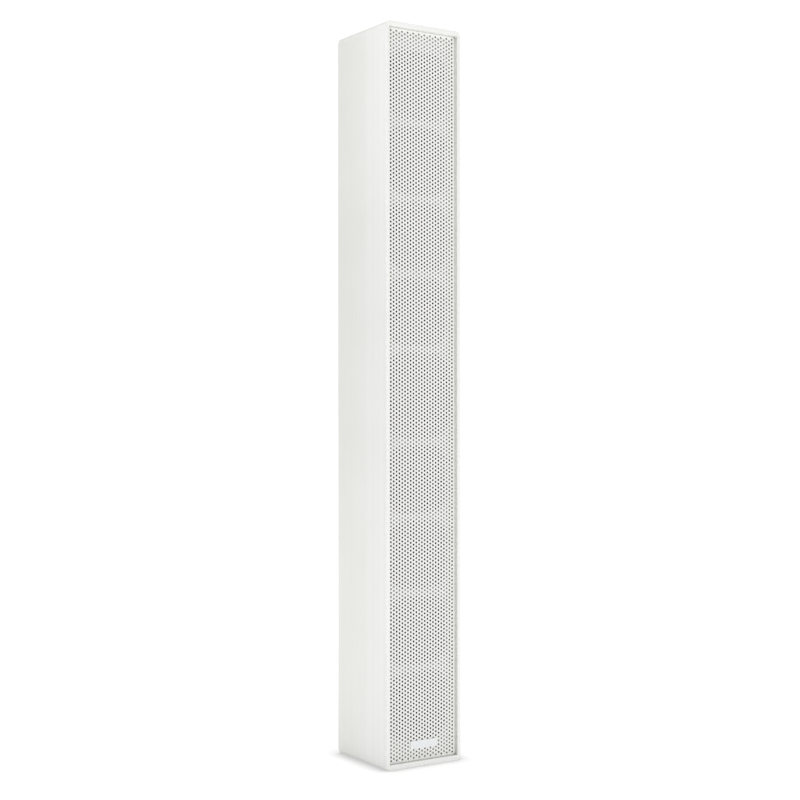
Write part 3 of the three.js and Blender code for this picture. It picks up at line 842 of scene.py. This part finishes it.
def make_badge():
    low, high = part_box("badge")
    size, middle = high - low, centre("badge")
    outline = rounded_box(size.x, size.z, 1.2 * MM, middle.x, middle.z)
    plate = panel("badge_blank", outline, low.y, high.y, bevel=0.3 * MM, rounds=3)
    install(plate, "badge_plate", "badge")


# ---- woofers
WOOFER_FRAME = 88 * MM
WOOFER_POWER = 4.5
SCREW_AT = 33.4 * MM
FRAME_FRONT = -1.6 * MM


def woofer_basket():
    """Pressed steel basket: a soft-cornered frame and an open bowl that holds the motor."""
    screw_holes = [circle(2.0 * MM, 24, x, z) for x, z in four_corners(SCREW_AT, SCREW_AT)]
    flange = panel("basket", soft_square(WOOFER_FRAME, WOOFER_FRAME, WOOFER_POWER),
                   FRAME_FRONT, 0, [circle(38 * MM, 96), *screw_holes], bevel=0.3 * MM)
    bowl = turned_mm("bowl", 0.4, (38.6, -0.8), (38.6, 3.4), (27.6, 25.6), (13, 25.6), (13, 24),
                     (24.4, 24), (24.4, 22.7), (26.4, 22.7), (36.2, 3.2), (35.2, 3.2),
                     (35.2, 2.0), (37.4, 2.0), (37.4, -0.8))
    basket = combined(flange, [bowl], "UNION")
    cutters = []
    for i in range(6):
        outline = rounded_box(21 * MM, 12 * MM, 3 * MM, z=13.5 * MM)
        window = extruded("window", [(x, -y) for x, y in outline], 30 * MM)
        turn = (Matrix.Rotation((i + 0.5) * math.pi / 3, 4, "Y") @ Matrix.Scale(-1, 4, (0, 1, 0))
                @ Matrix.Translation((0, 0, 20 * MM)))
        cutters.append(moved(window, turn=turn))
    return combined(basket, cutters, "DIFFERENCE")


def woofer_plates():
    """The motor's two zinc-plated steel plates and its pole."""
    return gathered("plates", [
        turned_mm("plate", 0.4, (11.4, 25.9), (24.5, 25.9), (24.5, 29.9), (11.4, 29.9), sides=64),
        turned_mm("yoke", 0.5, (0, 26.4), (9.2, 26.4), (9.2, 38.9), (24.0, 38.9), (24.0, 43.2),
                  (20, 43.9), (0, 43.9), sides=64, closed=False)])


def woofer_cone():
    """The cone in one sheet with the voice coil's former behind it."""
    steps = [step / 12 for step in range(1, 13)]
    return turned_sheet("cone", 0.5, (10, 31), (10, 22), (10, 14.2), (10.35, 13),
                        *[(10.35 + 19.05 * t, 13 - 11.1 * t ** 0.9) for t in steps])


def woofer_dust_cap():
    """A domed cap over the former, with a rolled lip glued to the cone."""
    angles = [math.pi / 2 * step / 12 for step in range(13)]
    return turned_sheet("dust_cap", 0.4, *[(12.6 * math.sin(a), 6.3 + 4.0 * (1 - math.cos(a)))
                                           for a in angles], (13.1, 11.2))


def woofer_surround():
    """The rubber half-roll between the cone's edge and the basket's ledge."""
    angles = [math.pi * step / 16 for step in range(17)]
    roll = [(32.6 + 2.9 * math.cos(a), 1.3 - 3.4 * math.sin(a)) for a in angles]
    return turned_sheet("surround", 0.5, (37.2, 1.6), (35.9, 1.6), *roll, (29.2, 1.75), (28.3, 2.2))


def woofer_spider():
    """The centring cloth behind the cone, with five waves."""
    steps = [step / 40 for step in range(1, 40)]
    cloth = [(11.4 + 13.2 * t, 21.9 + 0.75 * math.sin(10 * math.pi * t)) for t in steps]
    return turned_sheet("spider", 0.35, (10.3, 21.6), (11.4, 21.9), *cloth, (24.6, 22.2),
                        (26.2, 22.4))


def flex(piece):
    """Moves the ring into place within its own mesh: each vertex is shifted by the piece's
    location, which is then cleared."""
    points = [v.co.copy() for v in piece.data.vertices]
    axis = Vector(piece.location)
    piece.location = (0, 0, 0)
    for vertex in piece.data.vertices:
        vertex.co = (math.hypot(vertex.co.x, vertex.co.z), 0, 0)
    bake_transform(piece)
    for vertex, point in zip(piece.data.vertices, points):
        vertex.co = point + axis
    piece.data.update()


def make_woofers():
    places = [(x, FRAME_FRONT, z) for x, z in four_corners(SCREW_AT, SCREW_AT)]
    gasket = turned_mm("gasket", 0.2, (36.9, -0.9), (36.9, 1.2), (38.0, 1.2), (38.0, -1.5),
                       (37.3, -1.9), (36.9, -1.6))
    magnet = turned_mm("magnet", 0.7, (12.5, 29.9), (28, 29.9), (28, 38.9), (12.5, 38.9), sides=64)
    coil = turned_mm("coil", 0.15, (10.27, 26.6), (10.9, 26.6), (10.9, 31), (10.27, 31), sides=64)
    # Each row: the piece's name, its mesh, its slot, whether it moves, and what it stands for.
    rigid = [
        ("basket_frame", woofer_basket(), "black_steel", False, "basket"),
        ("gasket", gasket, "rubber", False),
        ("motor_plates", woofer_plates(), "zinc_steel", False, "motor"),
        ("magnet", magnet, "ferrite_steel", False),
        ("screws", screw_set("screws", pan_screw(*DRIVER_SCREW), places), "black_steel", False),
        ("cone_sheet", woofer_cone(), "black_cone", True, "cone"),
        ("dust_cap", woofer_dust_cap(), "black_cone", True),
        ("voice_coil", coil, "copper", True),
    ]
    flexing = [
        ("surround_roll", woofer_surround(), "rubber", "surround", 28.9, 35.8),
        ("spider_disc", woofer_spider(), "spider_cloth", "spider", 11.2, 24.8),
    ]
    for number in WOOFERS:
        node = f"woofer_{number}"
        place = Vector((0, BAFFLE_LOW.y, centre(f"{node}_basket").z))
        for part, master, slot, moves, *stands_for in rigid:
            piece = link(f"{node}_{part}", master.data)
            piece.location = place
            install(piece, slot, *[f"{node}_{name}" for name in stands_for],
                    body=f"{node}_moving" if moves else "cabinet")
        for part, master, slot, stands_for, inner, outer in flexing:
            piece = link(f"{node}_{part}", master.data.copy())
            piece.location = place
            dress(piece, slot)
            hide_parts(f"{node}_{stands_for}")
            flex(piece)
    for _, master, *_ in rigid + flexing:
        bpy.data.objects.remove(master)


# ---- high-frequency unit
HORN_THROAT = 12.7 * MM
HORN_MOUTH = 40 * MM
HORN_DEPTH = 40 * MM
HORN_WALL = 2.2 * MM
HORN_POWER = 3.2
FLANGE = 1.6 * MM
HORN_SCREWS = four_corners(37.6 * MM, 42.8 * MM)


def horn_ring(y, wall):
    """One ring of the horn: a circle at the throat that opens into a soft oblong at the mouth."""
    depth = (y + FLANGE) / (HORN_DEPTH + FLANGE)
    radius = HORN_THROAT + (HORN_MOUTH - HORN_THROAT) * (1 - depth) ** 1.7 + wall
    opening = (1 - depth) ** 0.8
    ring = []
    for i in range(SIDES):
        angle = 2 * math.pi * i / SIDES
        reach = radius * (1 + opening * (reach_of(angle, HORN_POWER) - 1))
        ring.append((reach * math.cos(angle), y, reach * math.sin(angle) * (1 + 0.15 * opening)))
    return ring


def horn():
    """The waveguide: the flange's edge, its face, the horn's inside and then its outside."""
    bevel = 0.5 * MM
    rings = []
    for inset, y in ((0, 0), (0, bevel - FLANGE), (0.3 * bevel, 0.3 * bevel - FLANGE),
                     (bevel, -FLANGE)):
        outline = soft_square(100 * MM - 2 * inset, 112 * MM - 2 * inset, 4.0)
        rings.append([(x, y, z) for x, z in outline])
    rings.append([(x * 1.03, -FLANGE, z * 1.03) for x, _, z in horn_ring(-FLANGE, 0)])
    steps = [step / 20 for step in range(21)]
    first = 0.25 * bevel - FLANGE
    rings += [horn_ring(first + step ** 1.4 * (HORN_DEPTH - first), 0) for step in steps]
    rings += [horn_ring((1 - step) * HORN_DEPTH, HORN_WALL) for step in steps]
    vertices = [point for ring in rings for point in ring]
    faces = []
    for r in range(len(rings)):
        low, high = r * SIDES, ((r + 1) % len(rings)) * SIDES
        faces += [(low + i, low + (i + 1) % SIDES, high + (i + 1) % SIDES, high + i)
                  for i in range(SIDES)]
    body = built("hf_horn", vertices, faces)
    holes = [panel("hole", circle(2.1 * MM, 24, x, z), -5 * MM, 5 * MM) for x, z in HORN_SCREWS]
    return combined(body, holes, "DIFFERENCE")


def make_high_frequency_unit():
    def place(piece, slot, *replaced, **others):
        install(moved(piece, y=BAFFLE_LOW.y, z=MIDDLE), slot, *replaced, **others)

    place(horn(), "black_plastic", "hf_waveguide")
    plates = [turned_mm("front", 0.5, (12.9, 40.3), (30, 40.3), (30, 45), (20, 45), (12.9, 49)),
              turned_mm("rear", 0.5, (24.5, 58.2), (24.5, 64), (36, 64), (36, 59), (30, 59))]
    place(gathered("hf_plates", plates), "zinc_steel", "hf_motor")
    place(turned_mm("hf_magnet", 0.8, (24.5, 45.2), (38, 45.2), (38, 58.8), (24.5, 58.8), steps=3),
          "ferrite_steel")
    dome = turned_sheet("hf_dome", 0.2, (0, 65.6), (4, 65.45), (8, 64.95), (12, 63.9), (16, 62.4),
                        (19.2, 60.6), (20.0, 60.1), (20.8, 60.5), (21.6, 60.0), (22.4, 60.4),
                        (23.4, 60.2))
    place(dome, "titanium", "hf_diaphragm", body="hf_moving")
    lid = turned_mm("hf_cover", 1, (0, 72.5), (25, 72.5), (25, 64.3), (36, 64.3), (36, 72),
                    (33, 75), (0, 75), steps=3, closed=False)
    place(lid, "black_plastic", "hf_rear_cover")
    tabs = [boxed("tab", (6.3, 6, 0.8), (0, 77.5 * MM, z * MM)) for z in (-7, 7)]
    place(gathered("hf_tabs", tabs), "copper", finish="brass")
    places = [(x, -FLANGE, z) for x, z in HORN_SCREWS]
    place(screw_set("hf_screws", pan_screw(*DRIVER_SCREW), places), "black_steel")


# ---- crossover
def make_crossover():
    coil_low, coil_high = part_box("crossover_coil")
    can_low, can_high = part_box("crossover_capacitor")
    front = coil_high.y
    length = (front - coil_low.y) / MM
    turns = [1.4 + turn * (length - 2.8) / 11 for turn in range(12)]
    wire = [(14.6 - abs(step), y + step) for y in turns for step in (-0.4, 0, 0.4)]
    winding = turned("coil_winding", mm((6.9, 1.0), *wire, (6.9, length - 1.0)))
    spool = turned_mm("coil_spool", 0.2, (6, 0), (15, 0), (15, 1), (6.9, 1), (6.9, length - 1),
                      (15, length - 1), (15, length), (6, length))
    middle = centre("crossover_coil")
    place = {"x": middle.x, "y": coil_low.y, "z": middle.z}
    install(moved(winding, **place), "copper", "crossover_coil")
    install(moved(spool, **place), "black_plastic")
    can = boxed("film_capacitor", (can_high - can_low) / MM, (can_low + can_high) / 2, 1.5)
    install(can, "film_blue", "crossover_capacitor")
    resistors = [boxed("resistor", (24, 9, 9), (x, front - 4.5 * MM, BOARD_LOW.z + 14 * MM), 0.8)
                 for x in (-15 * MM, 15 * MM)]
    install(gathered("crossover_resistors", resistors), "white_board", finish="ceramic")
    blocks = []
    z = BOARD_HIGH.z - 10 * MM
    for x in (-18 * MM, 18 * MM):
        block = boxed("terminal", (20, 10, 9), (x, front - 5 * MM, z), 0.6)
        mouths = [boxed("mouth", (4, 3, 3), (x + step * MM, front - 10 * MM, z))
                  for step in (-5, 0, 5)]
        blocks.append(combined(block, mouths, "DIFFERENCE"))
    install(gathered("crossover_terminals", blocks), "black_plastic")
    dress(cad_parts["crossover_board"], "circuit_board")


# ---- rear panel
def make_terminal_plate():
    holes = [circle(13.2 * MM, 64, z=centre(node).z) for node in ("input_socket", "link_socket")]
    holes += [circle(1.5 * MM, 20, x, z) for x, _, z in rear_screw_places()]
    outline = rounded_box(PLATE_WIDTH, PLATE_HEIGHT, 3 * MM, z=PLATE_MIDDLE)
    plate = panel("terminal_panel", outline, PLATE_LOW.y, PLATE_HIGH.y, holes, bevel=0.3 * MM)
    install(plate, "black_steel", "terminal_plate")
    screw = sunk_screw(*PLATE_HEAD, 1.4 * MM, 11 * MM)
    install(screw_set("terminal_panel_screws", screw, rear_screw_places(), REARWARD), "zinc_steel")


def make_socket(node):
    """A round locking loudspeaker socket: a flanged shell, a slotted core and four contacts."""
    low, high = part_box(node)
    z = (low.z + high.z) / 2
    back, face, half = low.y, high.y, high.x
    corners = four_corners(half - 3.3 * MM, half - 3.3 * MM, z)
    holes = [circle(12.6 * MM, 96, z=z)] + [circle(1.6 * MM, 20, x, cz) for x, cz in corners]
    flange = panel("flange", rounded_box(2 * half, 2 * half, 3.5 * MM, z=z),
                   face - 1.5 * MM, face, holes, bevel=0.4 * MM)
    floor = back + 2.5 * MM
    core_face = face - 2.0 * MM
    profile = [(0, back), (13 * MM, back), (13 * MM, face), (11.2 * MM, face), (11.2 * MM, floor),
               (5 * MM, floor), (5 * MM, core_face), (0, core_face)]
    shell = turned(f"{node}_shell", fillet(profile, 0.35 * MM, 3, closed=False))
    shell = combined(moved(shell, z=z), [flange], "UNION")
    ribs = [boxed("rib", (1.6, 16, 2.6), (x * MM, face - 10 * MM, z), 0.2) for x in (-10.9, 10.9)]
    shell = combined(shell, ribs, "UNION")
    slots = [boxed("slot", (1.4, 12, 7), (0, core_face, z)),
             boxed("notch", (5, 4, 5), (0, face, z + 12 * MM), 0.3)]
    install(combined(shell, slots, "DIFFERENCE"), "black_plastic", node)
    contacts = []
    for i in range(4):
        blade = boxed("blade", (2.6, 13, 0.8), (0, floor + 7 * MM, 5.3 * MM), 0.15)
        turn = Matrix.Rotation((i + 0.5) * math.pi / 2, 4, "Y")
        contacts.append(moved(blade, z=z, turn=turn))
    install(gathered(f"{node}_contacts", contacts), "copper", finish="brass")
    screws = screw_set(f"{node}_screws", pan_screw(*SOCKET_SCREW),
                       [(x, face, cz) for x, cz in corners], REARWARD)
    install(screws, "zinc_steel")


def make_inserts():
    """Flanged M6 inserts, whose bores show the thread's ridges."""
    turns = 17
    for node in INSERTS:
        front, back = (corner.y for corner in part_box(node))
        inner_wall = INNER_BACK - 0.3 * MM
        flange = inner_wall - 3.2 * MM
        outside = [(2.9 * MM, front), (4.3 * MM, front), (4.3 * MM, flange), (7 * MM, flange),
                   (7 * MM, inner_wall), (4.3 * MM, inner_wall), (4.3 * MM, back), (3.2 * MM, back)]
        thread = []
        for step in range(turns):
            y = back - (1 + step) * (back - front - MM) / turns
            thread += [(3.0 * MM, y + 0.5 * MM), (2.6 * MM, y)]
        profile = fillet(outside, 0.2 * MM, 2, closed=False) + thread
        piece = turned(f"{node}_threaded", profile, 48)
        install(moved(piece, x=centre(node).x, z=centre(node).z), "zinc_steel", node)


# ---- stage
FLOOR_HALF = 40.0


def make_floor():
    """A glowing white sweep, stronger far off, with a painted contact shadow: the glow is dimmed
    where ambient occlusion finds the column close.
    """
    finish = Finish("floor_finish")
    # Painted contact shadow: ambient occlusion near the column lowers the floor's glow.
    contact_shadow_ao = finish.node("ShaderNodeAmbientOcclusion", {"Distance": 24 * MM}, samples=8)
    near = finish.spread(contact_shadow_ao.outputs["AO"], 0.38, 0.76, 0.5, 0.97)
    place = finish.node("ShaderNodeTexCoord").outputs["Object"]
    reach = finish.node("ShaderNodeVectorMath", {0: place}, operation="LENGTH").outputs["Value"]
    glow = finish.math("ADD", near, finish.spread(reach, 0.01, 0.25, 0.12, 1.0))
    grey = finish.patches(0.4, 2.0, (0.36, 0.36, 0.36), (0.35, 0.35, 0.35))
    for value, socket in ((grey, "Base Color"), (glow, "Emission Strength")):
        finish.links.new(value, finish.shader.inputs[socket])
    for socket, value in (("Roughness", 0.9), ("Specular IOR Level", 0.0),
                          ("Emission Color", (1, 1, 1, 1))):
        finish.fix(socket, value)
    mesh = bpy.data.meshes.new("floor")
    corners = [(x, y, 0) for x, y in four_corners(FLOOR_HALF, FLOOR_HALF)]
    mesh.from_pydata(corners, [], [(0, 2, 3, 1)])
    mesh.materials.append(finish.material)
    link("floor", mesh)


def make_world():
    """An even white surround, which the camera sees as pure white."""
    world = bpy.data.worlds.new("studio")
    world.use_nodes = True
    nodes = world.node_tree.nodes
    background = nodes["Background"]
    background.inputs["Color"].default_value = (1.0, 1.0, 0.985, 1)
    seen = nodes.new("ShaderNodeLightPath").outputs["Is Camera Ray"]
    strength = nodes.new("ShaderNodeMapRange")
    strength.inputs["To Min"].default_value = 0.50
    strength.inputs["To Max"].default_value = 1.05
    world.node_tree.links.new(seen, strength.inputs["Value"])
    world.node_tree.links.new(strength.outputs[0], background.inputs["Strength"])
    bpy.context.scene.world = world


def soft_light(name, place, aim, size, power):
    light = bpy.data.lights.new(name, "AREA")
    light.shape = "RECTANGLE"
    light.size, light.size_y = size
    light.energy = power
    lamp = link(name, light)
    lamp.location = place
    lamp.rotation_euler = (Vector(aim) - Vector(place)).to_track_quat("-Z", "Y").to_euler()
    lamp.visible_camera = False


def make_lights():
    """Big soft boxes in front, above and to the left, and slim ones at the left front edge."""
    soft_light("front_box", (0.5, -2.6, 0.75), (0, 0, 0.4), (1.6, 1.4), 10.5)
    soft_light("top_box", (0, 0, 2.6), (0, 0, 0), (2.5, 2.5), 12)
    soft_light("left_box", (-0.9, 0.1, 1.6), (-0.06, 0, 0.8), (0.5, 0.5), 0.64)
    soft_light("low_box", (-0.35, 0.10, 0.03), (-0.06, 0.03, 0.0), (0.3, 0.04), 0.065)
    soft_light("low_front_box", (0.06, -0.36, 0.03), (0.02, -0.06, 0.06), (0.3, 0.04), 0.055)
    for name, height, length, power in (("edge_strip", 0.48, 1.5, 0.09),
                                        ("edge_strip_upper", 1.00, 0.5, 0.057),
                                        ("edge_strip_lower", 0.16, 0.3, 0.008)):
        soft_light(name, (-0.22, -0.085, height), (0, -0.06, height), (0.04, length), power)


def make_camera():
    data = bpy.data.cameras.new("camera")
    data.lens = 66.47
    data.sensor_width = 36.0
    camera = link("camera", data)
    camera.location = (-1.0667, -1.6454, 0.4699)
    yaw, pitch, roll = (math.radians(angle) for angle in (33.01, 0.086, 0.038))
    aim = Matrix.Rotation(-yaw, 3, "Z") @ Matrix.Rotation(math.pi / 2 + pitch, 3, "X")
    camera.rotation_euler = (aim @ Matrix.Rotation(-roll, 3, "Z")).to_euler()
    bpy.context.scene.camera = camera


make_camera()
make_body()
make_caps()
make_grille()
make_badge()
dress(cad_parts["front_baffle"], "white_board")
make_woofers()
make_high_frequency_unit()
make_crossover()
make_terminal_plate()
for socket in ("input_socket", "link_socket"):
    make_socket(socket)
make_inserts()
make_floor()
make_world()
make_lights()
bpy.context.scene.view_settings.view_transform = "Standard"
